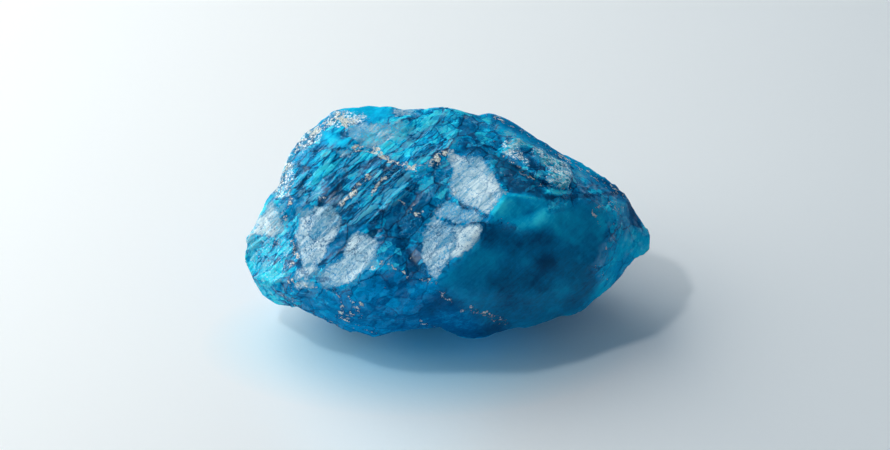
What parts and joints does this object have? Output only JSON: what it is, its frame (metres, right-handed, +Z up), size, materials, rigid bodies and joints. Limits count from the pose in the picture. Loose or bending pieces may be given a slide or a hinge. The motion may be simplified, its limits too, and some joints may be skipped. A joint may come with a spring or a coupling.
{
  "type": "apatite crystal",
  "caption": "Rough blue apatite crystal: a broken translucent stone with striated slopes, a bright middle crest, a smooth dark front face and chipped ridges, loose on its flat underside",
  "frame": {"origin": "on the resting face's plane, under the middle of the stone's box", "axes": "+Z up, +X along the stone's length, -Y towards the large smooth front face"},
  "size_m": [0.0406, 0.0246, 0.0192],
  "materials": {
    "apatite": "see-through deep blue mineral, broken faces between satin and glassy, with cream crust specks along the ridges"
  },
  "bodies": {
    "root": {"apatite_crystal": "apatite"}
  },
  "joints": []
}
